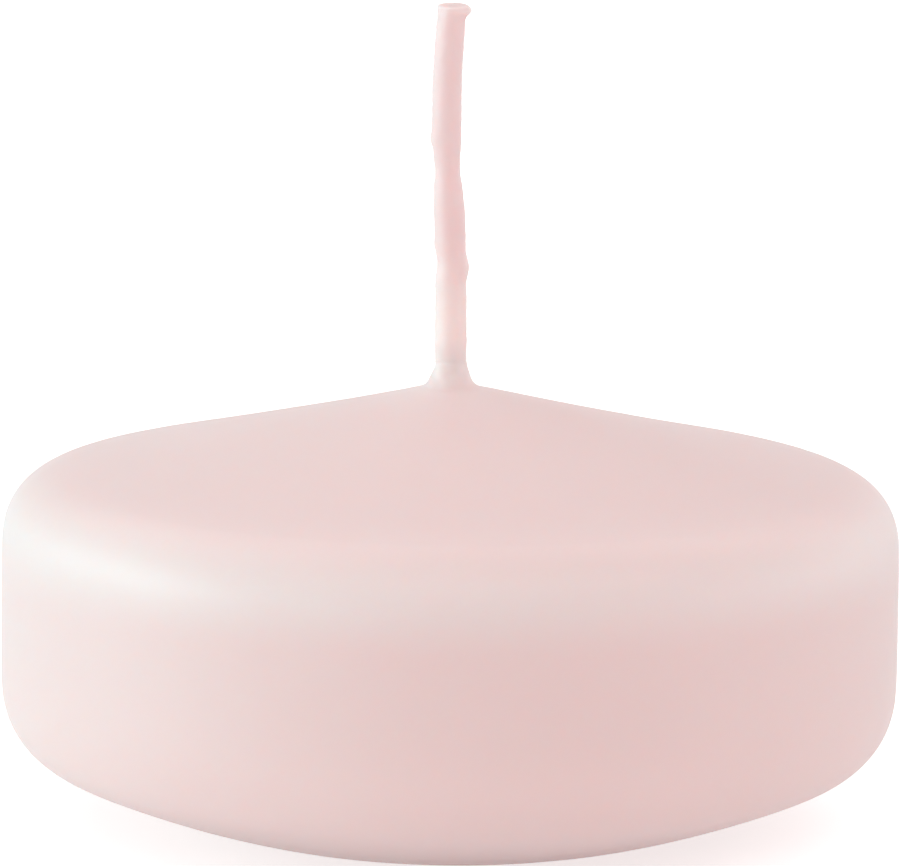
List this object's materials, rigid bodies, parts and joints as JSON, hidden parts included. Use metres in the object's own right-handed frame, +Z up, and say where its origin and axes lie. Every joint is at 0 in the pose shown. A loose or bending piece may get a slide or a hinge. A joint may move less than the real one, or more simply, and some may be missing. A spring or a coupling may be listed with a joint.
{
  "type": "floating candle",
  "caption": "Round floating candle in pale pink wax, with a shallow cone top, rounded shoulder, domed underside and a tall waxed wick.",
  "frame": {"origin": "centre of the flat that the candle stands on", "axes": "+Z up along the candle's axis, through the wick; -Y faces the viewer; +X to the viewer's right, away from the side the wick bows to"},
  "size_m": [0.045, 0.045, 0.0412],
  "materials": {
    "pink_wax": "smooth dipped wax, satin, slightly translucent",
    "waxed_wick": "braided cotton under a coat of the same wax, satin, slightly lumpy"
  },
  "bodies": {
    "root": {"wax_body": "pink_wax", "wick": "waxed_wick"}
  },
  "joints": []
}
